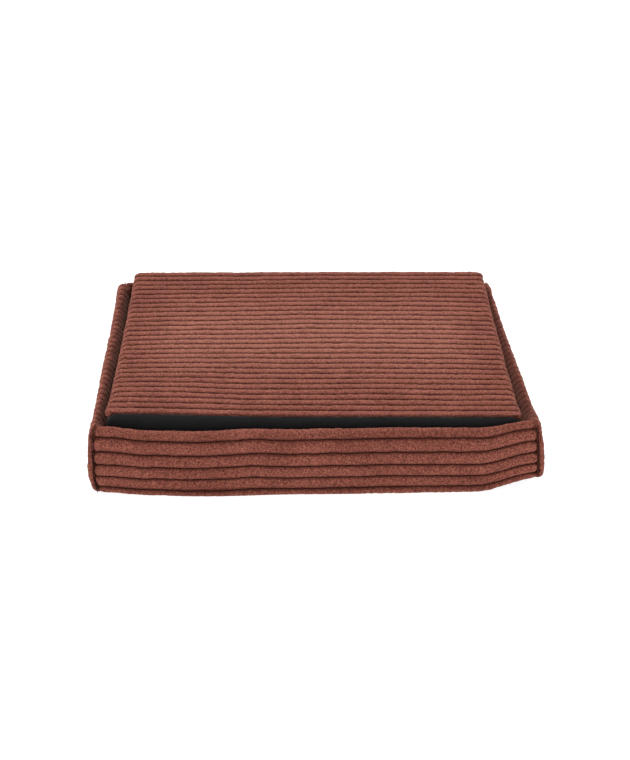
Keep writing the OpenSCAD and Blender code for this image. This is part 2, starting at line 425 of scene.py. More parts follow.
def end_band(name, end):
    """The front (-1) or back (1) wall's corduroy, its ribs running level."""
    profile = wall_profile(WALL_R, WALL_R)
    cloth = rib_places(0, np.interp(profile[0][-1], GROOVES, EVEN), FIRST_GROOVE)
    edge = SEAM_X - np.array([0, 0.4, 0.9, 1.6, 2.5, 3.6, 5, 6.8])
    x = np.concatenate([-edge, steps(-SEAM_X + 8.8, SEAM_X - 8.8, 1.7), edge[::-1]])
    x = x if end < 0 else x[::-1]
    across, z = wall_section(np.interp(cloth, EVEN, GROOVES), profile)
    out, wide = across[:, None], x[None, :]
    narrow = (1 - INNER_W / SEAM_X) * smooth((np.abs(wide) - 185) / (SEAM_X - 185))
    points = np.zeros((len(cloth), len(x), 3))
    points[..., 0] = wide * (1 - narrow * out)
    points[..., 1] = end * (HALF_D - WALL_T * out + face_bulge(out, z[:, None]))
    points[..., 2] = z[:, None]
    points = settle(points)
    flat = np.stack(np.broadcast_arrays(wide, cloth[:, None], 0.0), -1)
    gap = (SEAM_X - np.abs(wide)) + 0 * flat[..., 0]
    to_end = np.clip(1 - (gap - 0.5 + 0.6 * cloth_noise(flat, 4, 19)) / 5, 0, 1)
    rib = rib_height(cloth[:, None] + wobble(flat, 7 + end), FIRST_GROOVE, to_end)
    rise = SEAM_RISE + (RIM_RISE - SEAM_RISE) * smooth((z[:, None] - MID_Z) / 6)
    rib = np.maximum(rib, rise * smooth(1 - gap / 2.5))
    rib = np.maximum(rib, above_lining(cloth[-1] - cloth)[:, None])
    points = points - grid_normals(points) * seam_pull(gap)[..., None]
    points = above_floor(pile(points, rib, 11 + end))
    # painted shade: the colour darkens over the lowest rib at the foot
    shade = rib * (1 - PAINTED_FOOT_SHADE * smooth(1 - (cloth[:, None] - 3) / 6))
    points, shade = turned_in(points, shade, 1, SEAM_LEAN)
    return look(name, points, grid_faces(*shade.shape), {"rib": shade})


PAINTED_RIM_SHADE = 0.45  # painted shade: the side walls' pile is coloured darker on its inner slope by the cushion, where shade falls in the gap; it is also crushed flatter there
CRUSH_AND_SHADE_FROM = {-1: 0.34, 1: 0.12}  # from this share of the wall's width inward, left and right
RIM_CLOTH = 50, 95  # lengths of cloth from the foot between which a side wall turns over its rim
CORNER_CLOTH = TURN_R * math.pi / 2
SIDE_CLOTH = 2 * CORNER_CLOTH + 2 * (HALF_D - TURN_R)


def side_path(cloth):
    """The right wall's outer and inner plan points and outward direction, by length from its front seam."""
    turn = np.clip(cloth / TURN_R, 0, math.pi / 2)
    last = np.clip((cloth - SIDE_CLOTH + CORNER_CLOTH) / TURN_R, 0, math.pi / 2)
    middle = np.clip(cloth - CORNER_CLOTH, 0, SIDE_CLOTH - 2 * CORNER_CLOTH)
    outer_x = HALF_W - TURN_R + TURN_R * np.sin(turn) * np.cos(last)
    outer_y = -HALF_D + TURN_R - TURN_R * np.cos(turn) + middle + TURN_R * np.sin(last)
    to_seam = np.minimum(cloth, SIDE_CLOTH - cloth)
    spare = SIDE_CLOTH / 2 - INNER_D
    squeeze = np.where(to_seam < 2 * spare, to_seam**2 / (4 * spare), to_seam - spare)
    inner_y = np.sign(cloth - SIDE_CLOTH / 2) * (INNER_D - squeeze)
    outward = np.stack([np.sin(turn) * np.cos(last), np.sin(last) - np.cos(turn)], -1)
    return np.stack([outer_x, outer_y], -1), np.stack([0 * outer_x + INNER_W, inner_y], -1), outward


def side_band(name, side):
    """The left (-1) or right (1) wall's corduroy, its ribs running up, over the rim and down."""
    stretch = round(SIDE_CLOTH / RIB) * RIB / SIDE_CLOTH
    length = rib_places(0, SIDE_CLOTH * stretch, 0) / stretch
    length = length[::-1] if side > 0 else length
    to_corner = np.minimum(length, SIDE_CLOTH - length)
    at_corner = smooth(1 - to_corner / 42)[:, None]
    profiles = [wall_profile(SIDE_CREST, SIDE_DROP), wall_profile(WALL_R, WALL_R)]
    cloth_length = profiles[0][0][-1]
    rim, inside = RIM_CLOTH
    up = [steps(0, rim, 2.6), steps(rim, inside, 1.3)[1:], steps(inside, cloth_length, 3)[1:]]
    up = np.concatenate(up)
    share = up / cloth_length
    (along_a, along_z), (end_a, end_z) = [wall_section(share * each[0][-1], each) for each in profiles]
    across = along_a + (end_a - along_a) * at_corner
    z = along_z + (end_z - along_z) * at_corner
    outer, inner, outward = side_path(length)
    points = np.zeros((len(length), len(up), 3))
    flat = outer[:, None] + (inner - outer)[:, None] * across[..., None]
    points[..., :2] = flat + outward[:, None] * face_bulge(across, z)[..., None]
    points[..., 2] = z
    points[..., 0] *= side
    points = settle(points)
    flat = np.stack(np.broadcast_arrays(length[:, None], up[None, :], 0.0), -1)
    to_seam = np.minimum(flat[..., 0], SIDE_CLOTH - flat[..., 0])
    rib = rib_height(flat[..., 0] * stretch + wobble(flat, 17 + side), 0)
    rib = np.maximum(rib, SEAM_RISE * smooth(1 - to_seam / 2.5))
    ragged = 0.16 * cloth_noise(points, 9, 27) + 0.14 * cloth_noise(points, 3.5, 28)
    # where the pile is crushed flatter, and where its colour is darkened with painted shade
    crush_and_shade = smooth((across + ragged - CRUSH_AND_SHADE_FROM[side]) / 0.3) * (1 - 0.8 * at_corner)
    rub = smooth((across + ragged + 0.05) / 0.2)
    rib = rib + (0.75 * RIB_MEAN - rib) * (0.35 * rub + 0.4 * crush_and_shade)
    rib = np.maximum(rib, above_lining(cloth_length - up))
    points = points - grid_normals(points) * seam_pull(to_seam)[..., None]
    points = above_floor(pile(points, rib, 21 + side))
    # painted shade: the inner slope by the cushion is coloured darker
    shade = rib * (1 - PAINTED_RIM_SHADE * crush_and_shade)
    points, shade = turned_in(points, shade, 0, -SEAM_LEAN)
    return look(name, points, grid_faces(*shade.shape), {"rib": shade})


def plan_grid(half_w, half_d, r, size):
    """A grid of plan points that fills a rectangle with round corners."""
    round_rows = half_d - r * (1 - np.sin(np.linspace(0, math.pi / 2, 6)))
    y = np.concatenate([-round_rows[::-1], steps(-half_d + r, half_d - r, size)[1:-1], round_rows])
    past = np.maximum(np.abs(y) - (half_d - r), 0)
    wide = half_w - r + np.sqrt(np.maximum(r * r - past * past, 0))
    x = steps(-1, 1, size / half_w)[None, :] * wide[:, None]
    return np.stack([x, y[:, None] + 0 * x, 0 * x], -1)


def cloth_panel(name, half_w, half_d, r, size, height, facing=1, slope=14):
    """A flat sheet of cloth at height(points), its face up (1) or down (-1)."""
    points = plan_grid(half_w, half_d, r, size)
    points[..., 2] = height(points)
    faces = grid_faces(*points.shape[:2])
    return look(name, settle(points, slope), faces if facing > 0 else faces[:, ::-1])


WALL_FOAM_GAP = 4.2  # from the wall's outline to its foam
FOAM_END = 14  # the front and back foams stop this far from the corner seams
SIDE_FOAM_DROP = 10  # the side foams are lower, under the walls' slope
BASE_SLOPE = 26  # the base bends up to the lifted corner over this width


def wall_foam(name, low, high):
    """A bar of foam inside a wall."""
    return block(name, low, high, WALL_R - WALL_FOAM_GAP, 12, settle)


def make_tray():
    """Every piece of the tray, by material slot."""
    bands = [
        end_band("front_band", -1),
        end_band("back_band", 1),
        side_band("left_band", -1),
        side_band("right_band", 1),
    ]
    g = WALL_FOAM_GAP
    end_reach, end_top = SEAM_X - FOAM_END, WALL_H - g
    near, far = INNER_D + g, HALF_D - g
    side_near, side_far, side_top = INNER_W + g + 1, HALF_W - g, end_top - SIDE_FOAM_DROP
    foams = [
        wall_foam("front_foam", (-end_reach, -far, g), (end_reach, -near, end_top)),
        wall_foam("back_foam", (-end_reach, near, g), (end_reach, far, end_top)),
        wall_foam("left_foam", (-side_far, -INNER_D, g), (-side_near, INNER_D, side_top)),
        wall_foam("right_foam", (side_near, -INNER_D, g), (side_far, INNER_D, side_top)),
    ]
    low, high = span("base_pad")

    def pad_shape(points):
        """The pad's underside rises with the lifted corner, its upper side stays level."""
        share = (points[..., 2] - low[2]) / (high[2] - low[2])
        raised = points.copy()
        raised[..., 2] += (settle(points, BASE_SLOPE) - points)[..., 2] * np.clip(1 - share, 0, 1)
        return raised

    foams.append(block("base_pad", low + (0, 0, 0.2), high - (0, 0, 0.6), 3, 8, pad_shape))

    def base_height(p):
        return 0.75 + 0.2 * cloth_noise(p, 45, 51)

    def lining_height(p):
        return FLOOR_Z - 0.55 + 0.3 * cloth_noise(p, 38, 52) + 0.15 * cloth_noise(p, 15, 53)

    inset = FOOT_R - 0.5
    wide, deep = HALF_W - inset, HALF_D - inset
    base = cloth_panel("base_fabric", wide, deep, WALL_R - 2, 5, base_height, facing=-1, slope=BASE_SLOPE)
    lining = cloth_panel("floor_lining", INNER_W + 1, INNER_D + 1, 3, 4, lining_height)
    return bands, foams, base, lining, corner_seams()


SEAM_SHADE = 0.45  # painted shade: the seam's pile is coloured as dark as a rib's shaded flank, where shade falls in the seam


def corner_seams():
    """The bands' turned-in edges at the four corners: a narrow upright bar of pile under each seam."""
    deep = 2.3  # from the wall's outline to the bar
    thin, thick = 2.0, 3.3  # the bar's reach from the seam, to the middle of the wall and to its corner
    wide = 9.0  # how far the bar goes into the wall
    turn = np.linspace(0, math.pi, 15)
    r = WALL_R - deep
    arch = np.stack([WALL_R - r * np.cos(turn), MID_Z + r * np.sin(turn)], -1)
    arch = arch[arch[:, 0] < deep + wide]
    line = np.concatenate([[[deep, z] for z in steps(1.5, MID_Z - 2, 4)], arch])
    parts = []
    for side in (-1, 1):
        for end in (-1, 1):
            rows = []
            for out, z in line:
                share = out / WALL_T
                x = SEAM_X + (INNER_W - SEAM_X) * share
                y = HALF_D - out
                back = min(out + 3, deep + wide)
                section = [(-thin, 0.9), (-0.8, 0), (0.8, 0.1), (thick, 1.1), (thick, back), (-thin, back)]
                for dx, depth in section:
                    rows.append((side * (x + dx), end * (y - depth), z - 0.4 * (depth > 1)))
            parts.append((settle(np.array(rows, float)), grid_faces(len(line), 6, wrap=True)))
    points, faces = gathered(parts)
    # painted shade on the seam bar
    shade = {"rib": np.full(len(points), SEAM_SHADE)}
    seams = mended(mesh_object("corner_seams", points, faces, shade), sides=6)
    seams.data.shade_smooth()
    return stand_for(seams, "corner_seams")


def non_slip_dots():
    """Low rubber dots in a staggered pattern on the tray's underside."""
    pitch, r, tall, sides = 16, 2.0, 0.55, 14
    turn = np.linspace(0, 2 * math.pi, sides, endpoint=False)
    rings = [(1, 0), (0.92, 0.5), (0.6, 0.85), (0.25, 1)]
    dome = np.array([[r * k * math.cos(a), r * k * math.sin(a), -tall * h] for k, h in rings for a in turn])
    dome_faces = grid_faces(len(rings), sides, wrap=True)[:, ::-1]
    parts = []
    reach = HALF_W - 14
    for row, y in enumerate(np.arange(-reach, reach, pitch * 0.866)):
        for x in np.arange(-reach + (row % 2) * pitch / 2, reach, pitch):
            parts.append((dome + (x, y, 0.72), dome_faces))
    points, faces = gathered(parts)
    return mended(mesh_object("non_slip_dots", settle(points, BASE_SLOPE), faces), sides=sides)


# ---------- the cushion ----------

CUSH_RIBS = 30
CUSH_CLOTH = CUSH_RIBS * RIB
SEAM_IN = 2.0  # the cushion's seams lie this far inside its swollen sides
SIDE_FOLD = 5.5  # the top panel's corduroy comes this far down the cushion's sides, under its rolled edge
FRONT_ROLL, SIDE_ROLL, BACK_ROLL = 1.5, 8, 4.5
CROWN = 2.0
TOP_FLANK_SHADE = 1.5  # painted shade: the top's colour is paler on the ribs' crowns and darker down their flanks, as if lit from behind
PLUMP_FRONT, PLUMP_BACK = 1.0, 2.8  # the stuffed top stands a little over the CAD panel
CORNER_X, CORNER_Y = CUSH_W - CUSH_R, CUSH_D - CUSH_R
WINDOW_LOW, WINDOW_HIGH = 2 * ZIP_Z - FACING_LOW[2], FACING_LOW[2]
WINDOW_X = FACING_HIGH[0]
SPLIT = 0.86  # the gusset's height that meets the zip's window


def top_height(x, y):
    """The top panel's surface, lower at the front and a little crowned."""
    back = (y + CUSH_D) / (2 * CUSH_D)
    crown = CROWN * (1 - (x / CUSH_W) ** 2) * (1 - (y / CUSH_D) ** 2)
    return FRONT_Z + PLUMP_FRONT + (BACK_Z + PLUMP_BACK - FRONT_Z - PLUMP_FRONT) * back**2 + crown


LEFT_RAISED = 3.2  # how far the cushion's front left corner stands up


def lie(points, pull=1.0):
    """The cushion's points where it really lies: a little turned, its front left corner raised."""
    x, y, z = points[..., 0], points[..., 1], points[..., 2]
    ahead = smooth((CUSH_D - y) / (2 * CUSH_D))
    high = np.clip((z - CUSH_Z) / (FRONT_Z - CUSH_Z), 0, 1)
    moved = points.copy()
    moved[..., 0] += (SKEW * y / CUSH_D + LEAN * ramp(x, 90, 115) * high**1.5) * pull
    moved[..., 1] -= SKEW * x / CUSH_W * ahead
    moved[..., 2] += LEFT_RAISED * ramp(-x, 20, 180) * ramp(-y, -20, 220) * high**2
    return moved


def roll_radius(y):
    """The panel's rolled edge is tight along the front seam and wider elsewhere."""
    sides = FRONT_ROLL + (SIDE_ROLL - FRONT_ROLL) * ramp(y, -CUSH_D, 40)
    return sides - (SIDE_ROLL - BACK_ROLL) * ramp(y, CUSH_D - 40, 40)


def fold_share(y):
    """1 where the top panel folds down the side, 0 along the front and back seams."""
    r = CUSH_R - SEAM_IN
    past = np.clip(np.abs(y) - CORNER_Y, 0, r)
    round_corner = r * (math.pi / 2 - np.arcsin(past / r))
    return smooth((round_corner + np.maximum(CORNER_Y - np.abs(y), 0)) / 15)


def edge_seam(y):
    """The height of the seam under the top panel."""
    return top_height(CUSH_W, y) - roll_radius(y) - SIDE_FOLD * fold_share(y) - 0.15


def panel_rows(y, inset, size):
    """Rows of plan points across the cushion, their inside distance and the plan direction at their ends."""
    r = CUSH_R - inset
    past = np.minimum(np.maximum(np.abs(y) - CORNER_Y, 0), r)
    bow = np.sqrt(np.maximum(r * r - past * past, 0))
    reach = CORNER_X + bow
    close = np.array([0, 0.3, 0.8, 1.5, 2.4, 3.5, 5, 7, 9.5])
    middle = steps(-1, 1, size / CUSH_W)[1:-1]
    left = -reach[:, None] + close
    right = reach[:, None] - close[::-1]
    inner = (reach[:, None] - close[-1]) * middle
    x = np.concatenate([left, inner, right], 1)
    y = y[:, None] + 0 * x
    qx, qy = np.abs(x) - CORNER_X, np.abs(y) - CORNER_Y
    straight = np.minimum(-qx, -qy) + r[:, None]
    inside = np.where((qx > 0) & (qy > 0), r[:, None] - np.hypot(qx, qy), straight)
    across = np.stack([bow, past * np.sign(y[:, 0])], -1)
    across /= np.maximum(np.linalg.norm(across, axis=-1, keepdims=True), 1e-6)
    return x, y, np.maximum(inside, 0), across


def rounded(inside, radius):
    """How far a surface has dropped at a distance inside its rolled edge."""
    near = radius - np.minimum(inside, radius)
    return radius - np.sqrt(np.maximum(radius**2 - near**2, 0))


SIDE_STRIPS = ((0, 0), (6, 6))  # the rows of points added on either side where the top panel folds down


def cushion_top():
    """The corduroy panel with its sides folded down, ribs running from side to side."""
    cloth = rib_places(0, CUSH_CLOTH, 0)
    row_y = (2 * cloth / CUSH_CLOTH - 1) * (CUSH_D - SEAM_IN)
    share = fold_share(row_y)
    inset = SEAM_IN * (1 - share)
    x, y, inside, across = panel_rows(row_y, inset, 1.8)
    z = top_height(x, y) - rounded(inside, roll_radius(y))
    panel = np.stack([x, y, z], -1)
    down = np.linspace(0, 1, 7)[1:]
    near_seam = np.clip(down * SIDE_FOLD - (SIDE_FOLD - 4), 0, 4) / 4
    tuck = SEAM_IN * (1 - np.sqrt(1 - near_seam**2))
    strips = []
    for side, edge in ((-1, panel[:, 0]), (1, panel[:, -1])):
        strip = np.repeat(edge[:, None], len(down), 1)
        out = across * (side, 1)
        strip[..., :2] -= out[:, None] * (tuck[None, :] * share[:, None])[..., None]
        seam_y = edge[:, 1] - out[:, 1] * SEAM_IN * share
        strip[..., 2] += down[None, :] * (edge_seam(seam_y) - edge[:, 2])[:, None]
        strips.append(strip)
    points = np.concatenate([strips[0][:, ::-1], panel, strips[1]], 1)
    within = np.pad(inside, SIDE_STRIPS)
    points[..., 2] += 0.7 * cloth_noise(points * (1, 1, 0), 70, 61) * smooth(within / 20)
    points = lie(points)
    flat = np.stack([points[..., 0], cloth[:, None] + 0 * points[..., 0], 0 * points[..., 0]], -1)
    to_end = np.minimum(flat[..., 1], CUSH_CLOTH - flat[..., 1])
    hem = np.pad(inside + SIDE_FOLD * share[:, None], SIDE_STRIPS, mode="edge")
    hem[:, :6] = (SIDE_FOLD * share)[:, None] * (1 - down[None, ::-1])
    hem[:, -6:] = (SIDE_FOLD * share)[:, None] * (1 - down[None, :])
    rib = rib_height(cloth[:, None] + 0.6 * wobble(flat, 33), 0) * seam_fade(hem * 1.5 + 0.4)
    # painted shade: the top's ribs are coloured darker down their flanks, and the panel's ends are kept
    # brown
    shade = np.maximum(rib**TOP_FLANK_SHADE, 0.35 * smooth(1 - to_end / 2))
    rib = np.maximum(rib, RIB_MEAN * smooth(1 - np.minimum(to_end, hem) / 1.6))
    points = pile(points, rib, 31)
    # painted highlight: a pale band across the middle of the top, as if lit there
    painted_highlight = np.exp(-(((points[..., 1] - 10) / 105) ** 2)) * smooth(within / 70)
    return look("cushion_top", points, grid_faces(*rib.shape), {"rib": shade, "painted_highlight": painted_highlight})


def cushion_bottom():
    """The plain underside, its edges rolled up to the lower seam."""
    row_y = np.concatenate([steps(-CUSH_D + SEAM_IN, -CORNER_Y + 3, 0.9), steps(-CORNER_Y + 3, 0, 4)[1:]])
    row_y = np.concatenate([row_y, -row_y[-2::-1]])
    x, y, inside = panel_rows(row_y, SEAM_IN + 0 * row_y, 4)[:3]
    flat = np.stack([x, y, 0 * x], -1)
    limp = smooth(inside / 12)
    z = CUSH_Z + 0.35 + rounded(inside, EDGE_R)
    z = z + limp * (0.3 * cloth_noise(flat, 48, 71) + 0.15 * cloth_noise(flat, 17, 72))
    points = lie(np.stack([x, y, z], -1))
    return look("cushion_bottom", points, grid_faces(*x.shape)[:, ::-1])


def cushion_outline(size):
    """Plan points round the cushion and their outward directions, starting at the back left corner."""
    points, outward = [], []
    for turn in range(4):
        middle = math.pi / 2 * (turn + 1) + math.pi / 4
        start = middle - math.pi / 4
        centre = np.array([CORNER_X * np.sign(math.cos(middle)), CORNER_Y * np.sign(math.sin(middle))])
        for a in np.linspace(start, start + math.pi / 2, 15):
            n = np.array([math.cos(a), math.sin(a)])
            points.append(centre + CUSH_R * n)
            outward.append(n)
        end, n = points[-1], outward[-1]
        along = np.array([-n[1], n[0]])
        length = 2 * (CORNER_X if abs(n[1]) > 0.5 else CORNER_Y)
        for d in steps(0, length, size)[1:-1]:
            points.append(end + along * d)
            outward.append(n)
    return np.array(points), np.array(outward)


def seam_pucker(plan, seed):
    """A stitched seam gathers its cloth in small uneven waves."""
    return 0.16 * cloth_noise(np.pad(plan, ((0, 0), (0, 1))), 4.5, seed)


def side_profile(share, high):
    """How far in the gusset's cloth is drawn at a share of its height, at its lower and upper seams."""
    low_edge = 1 - np.clip(share * high / 6, 0, 1)
    high_edge = 1 - np.clip((1 - share) * high / 6, 0, 1)
    return SEAM_IN * (2 - np.sqrt(1 - low_edge**2) - np.sqrt(1 - high_edge**2))


GUSSET_ROWS = np.concatenate(
    [
        [0, 0.008, 0.02, 0.04, 0.07, 0.11],
        np.linspace(0.17, 0.77, 9),
        [0.82, SPLIT, SPLIT + 0.012, 0.90, 0.93, 0.96, 0.98, 0.992, 1.0],
    ]
)
SPLIT_ROW = int(np.argmin(np.abs(GUSSET_ROWS - SPLIT)))


def gusset_column(plan, outward):
    """The heights at each place round the cushion: lower seam, zip window's lower edge, upper seam."""
    seam = plan - outward * SEAM_IN
    upper = edge_seam(seam[:, 1])
    lower = CUSH_Z + 0.35 + EDGE_R + 0 * upper
    behind = ramp(plan[:, 1], CUSH_D - 16, 14)
    split = lower + SPLIT * (upper - lower)
    return lower, split + behind * (WINDOW_LOW - split), upper


def gusset():
    """The black strip of cloth round the cushion's sides, open behind for the zip."""
    plan, outward = cushion_outline(3.2)
    lower, split, upper = gusset_column(plan, outward)
    rows = GUSSET_ROWS[:, None]
    below = lower + (split - lower) * rows / SPLIT
    above = split + (upper - split) * (rows - SPLIT) / (1 - SPLIT)
    z = np.where(rows <= SPLIT, below, above)
    share = (z - lower) / (upper - lower)
    inset = side_profile(share, upper - lower)
    calm = np.where(plan[:, 1] > CUSH_D - 1, 0.3, 1.0)
    inset = inset - 0.4 * calm * np.sin(math.pi * share)
    inset = inset + seam_pucker(plan, 81) * np.clip(1 - (1 - share) * 9, 0, 1)
    at = np.stack([plan[:, 0] + 0 * z, plan[:, 1] + 0 * z, z], -1)
    inset = inset - calm * 0.35 * cloth_noise(at, 42, 82) * np.sin(math.pi * share)
    points = at.copy()
    points[..., :2] -= outward * inset[..., None]
    points = lie(points, smooth(2 * np.abs(outward[:, 0])))
    window = (np.abs(plan[:, 0]) < WINDOW_X) & (plan[:, 1] > CUSH_D - 1)
    fold = SPLIT_ROW + 1
    points[fold, window] = points[SPLIT_ROW, window] - (0, 1.2, 0.1)
    tucked = points[-1] - np.pad(outward, ((0, 0), (0, 1))) * 1.8
    points = np.concatenate([points, tucked[None]])
    cells = window & np.roll(window, -1)
    keep = np.ones((len(points) - 1, len(plan)), bool)
    keep[fold:, cells] = False
    return look("gusset", points, grid_faces(len(points), len(plan), wrap=True, keep=keep)[:, ::-1])


def zip_facing():
    """The narrow strip of cloth between the zip and the upper seam."""
    x = steps(-WINDOW_X - 1, WINDOW_X + 1, 3.2)
    plan = np.stack([x, 0 * x + CUSH_D], -1)
    outward = np.stack([0 * x, 0 * x + 1], -1)
    lower, upper = gusset_column(plan, outward)[::2]
    share = np.array([0, 0.12, 0.3, 0.5, 0.7, 0.85, 0.95, 1.0])[:, None]
    z = WINDOW_HIGH + (upper - WINDOW_HIGH) * share
    inset = side_profile((z - lower) / (upper - lower), upper - lower)
    inset = inset + seam_pucker(plan, 81) * share + 0.25 * (1 - np.sqrt(1 - (1 - share) ** 6))
    points = np.stack([x + 0 * z, CUSH_D - inset, z], -1)
    fold = points[:1] - (0, 1.1, -0.1)
    tucked = points[-1:] + (0, -1.4, 0.2)
    points = np.concatenate([fold, points, tucked])
    return look("zip_facing", points, grid_faces(*points.shape[:2])[:, ::-1])


TAPER = 3.0  # how far the filling's sides draw in near its underside
BAG_LIFT = 0.6  # the bag lies this far above the cushion's underside


def core_top(y):
    """The height of the foam core's upper face."""
    back = (y + CUSH_D) / (2 * CUSH_D)
    core_high = span("foam_core")[1][2]
    return core_high - 0.3 - (BACK_Z - FRONT_Z) * (1 - back**2)


def tapered(points):
    """The filling draws in towards its underside, behind the cushion's lower seam."""
    taper = TAPER * smooth((CUSH_Z + 15 - points[..., 2]) / 8)
    drawn = points.copy()
    drawn[..., 0] *= 1 - taper / CUSH_W
    drawn[..., 1] *= 1 - taper / CUSH_D
    return drawn


def filling():
    """The foam core, the wadding over it, and the thin bag round both."""
    low, high = span("foam_core")

    def core_shape(p):
        share = (p[..., 2] - low[2]) / (high[2] - low[2])
        z = low[2] + share * (core_top(p[..., 1]) - low[2])
        return lie(tapered(np.stack([p[..., 0], p[..., 1], z], -1)))

    core = block("foam_core", low + 0.3, high - 0.3, 4, 12, core_shape)
    soft_low, soft_high = span("wadding")
    thick = soft_high[2] - high[2] - 0.6

    def wadding_shape(p):
        lump = 0.25 * cloth_noise(p, 22, 91)
        z = core_top(p[..., 1]) + 0.3 + p[..., 2] + lump
        return lie(np.stack([p[..., 0], p[..., 1], z], -1))

    soft_low[2], soft_high[2] = 0, thick
    wadding = block("wadding", soft_low + (0.6, 0.6, 0), soft_high - (0.6, 0.6, 0), 3, 7, wadding_shape)
    bag_low, bag_high = span("foam_liner")

    def bag_shape(p):
        share = (p[..., 2] - bag_low[2]) / (bag_high[2] - bag_low[2])
        top = core_top(p[..., 1]) + thick + 1.0
        z = bag_low[2] + BAG_LIFT + share * (top - bag_low[2] - BAG_LIFT)
        return lie(tapered(np.stack([p[..., 0], p[..., 1], z], -1)))

    bag = block("foam_liner", bag_low + (0.1, 0.1, 0), bag_high - (0.1, 0.1, 0), 5, 9, bag_shape)
    return core, wadding, bag


# ---------- the zip ----------

COIL_PITCH = 1.5
COIL_WIRE = 0.36  # half the thickness of the coil's wire
STITCH_LENGTH, STITCH_GAP = 2.6, 0.7
STITCH_Y = CUSH_D - 0.05 - 0.12  # the threads' middle dips a little into the gusset's back face


def straight(start, end, count):
    """Points in even steps from start to end."""
    return [np.array(start) * (1 - t) + np.array(end) * t for t in np.linspace(0, 1, count)]


def tube(path, radius, sides):
    """Points and quads of a round bar along a path."""
    path = np.asarray(path, float)
    ahead = np.gradient(path, axis=0)
    ahead /= np.linalg.norm(ahead, axis=1, keepdims=True)
    side = np.cross(ahead, (0.31, 0.17, 0.93))
    side /= np.linalg.norm(side, axis=1, keepdims=True)
    up = np.cross(ahead, side)
    turn = np.linspace(0, 2 * math.pi, sides, endpoint=False)
    ring = side[:, None] * np.cos(turn)[:, None] + up[:, None] * np.sin(turn)[:, None]
    points = (path[:, None] + ring * radius).reshape(-1, 3)
    return points, grid_faces(len(path), sides, wrap=True)


def zip_coil(name, above):
    """One row of the coil zip: loops of wire whose heads reach between the other row's."""
    low, high = span(name)
    y_middle = (low[1] + high[1]) / 2
    half_y = (high[1] - low[1]) / 2 - COIL_WIRE
    near = 0.45 + COIL_WIRE
    far = high[2] - ZIP_Z if above > 0 else ZIP_Z - low[2]
    far -= COIL_WIRE
    shift = 0 if above > 0 else COIL_PITCH / 2
    loops = int((2 * ZIP_HALF - 1) / COIL_PITCH)
    turn = np.arange(0, loops, 1 / 10) * 2 * math.pi
    x = -ZIP_HALF + 0.5 + COIL_WIRE / 2 + shift + turn / (2 * math.pi) * COIL_PITCH
    reach = near + (far - near) * (1 - np.cos(turn)) / 2
    path = np.stack([x, y_middle + half_y * np.sin(turn), ZIP_Z + above * reach], -1)
    return look(name, *tube(path[x < ZIP_HALF - 0.4], COIL_WIRE, 5))


def zip_tape(name):
    """Half of the zip's woven tape, with a slightly raised cord beside the coil."""
    low, high = span(name)
    upper = low[2] + high[2] > 2 * ZIP_Z
    reach = WINDOW_X + 1.5
    x = steps(-reach, reach, 3)
    share = np.array([0, 0.03, 0.1, 0.2, 0.32, 0.5, 0.7, 0.9, 1.0])
    rise = 0.10 * np.exp(-(((share - 0.06) / 0.05) ** 2))
    beyond = smooth((np.abs(x) - ZIP_HALF) / 3)
    edge, far = (low[2], high[2]) if upper else (high[2], low[2])
    edge = edge + (ZIP_Z - edge) * 0.98 * beyond
    if not upper:
        share, rise = share[::-1], rise[::-1]
    grid_x = x + 0 * share[:, None]
    grid_z = edge + (far - edge) * share[:, None]
    front = np.stack([grid_x, high[1] - 0.12 + rise[:, None] + 0 * grid_x, grid_z], -1)
    front[..., 1] += 0.05 * cloth_noise(front, 14, 95)
    back = front.copy()
    back[..., 1] -= 0.45
    count = front[..., 0].size
    points = np.concatenate([front.reshape(-1, 3), back.reshape(-1, 3)])
    faces = [grid_faces(*grid_x.shape)[:, ::-1], grid_faces(*grid_x.shape, start=count)]
    rows, cols = grid_x.shape
    index = np.arange(count).reshape(rows, cols)
    for line in (index[0], index[-1][::-1], index[:, 0][::-1], index[:, -1]):
        faces.append(np.stack([line[:-1], line[1:], line[1:] + count, line[:-1] + count], -1))
    return mended(look(name, points, np.concatenate(faces)), JOINED)


def zip_stops():
    """A small crimped metal stop at each end of the zip."""
    low, high = span("zip_stops")
    parts = []
    half = 1.0
    for x in (low[0] + half, high[0] - half):
        p, f = block_points((x - half, low[1] - 0.1, low[2]), (x + half, high[1], high[2]), 0.7, 0.8)
        waist = 1 - 0.12 * np.exp(-(((p[:, 2] - ZIP_Z) / 0.9) ** 2))
        p[:, 0] = x + (p[:, 0] - x) * waist
        parts.append((p, f))
    return mended(look("zip_stops", *gathered(parts)), JOINED)


def stitches(name, lines, seed):
    """Rows of topstitching along X at the heights in lines: short threads with gaps between them."""
    parts = []
    bend = np.linspace(0, math.pi, 6)
    for row, z in enumerate(lines):
        places = np.arange(-WINDOW_X + 2 + row * 1.1, WINDOW_X - 4, STITCH_LENGTH + STITCH_GAP)
        for k, x in enumerate(places):
            lean = 0.12 * math.sin(k * 1.7 + seed)
            along = x + STITCH_LENGTH * (1 - np.cos(bend)) / 2
            path = np.stack([along, STITCH_Y + 0.3 * np.sin(bend), z + lean * np.linspace(-1, 1, 6)], -1)
            parts.append(tube(path, 0.17, 5))
    return mesh_object(name, *gathered(parts))


SLIDER_X = (SLIDER_LOW[0] + SLIDER_HIGH[0]) / 2
SLIDER_HALF = (SLIDER_HIGH[0] - SLIDER_LOW[0]) / 2
PLATE_T, PLATE_EDGE = 1.2, 0.28
BRIDGE_HALF, BRIDGE_W = 3.5, 2.2
PIN_Y = (PULL_LOW[1] + PULL_HIGH[1]) / 2
PIN_R = (PULL_HIGH[1] - PULL_LOW[1]) / 2
PULL_HALF_W = (PULL_HIGH[2] - PULL_LOW[2]) / 2
PULL_WINDOW, PULL_HOLE_R = 4.6, 1.3


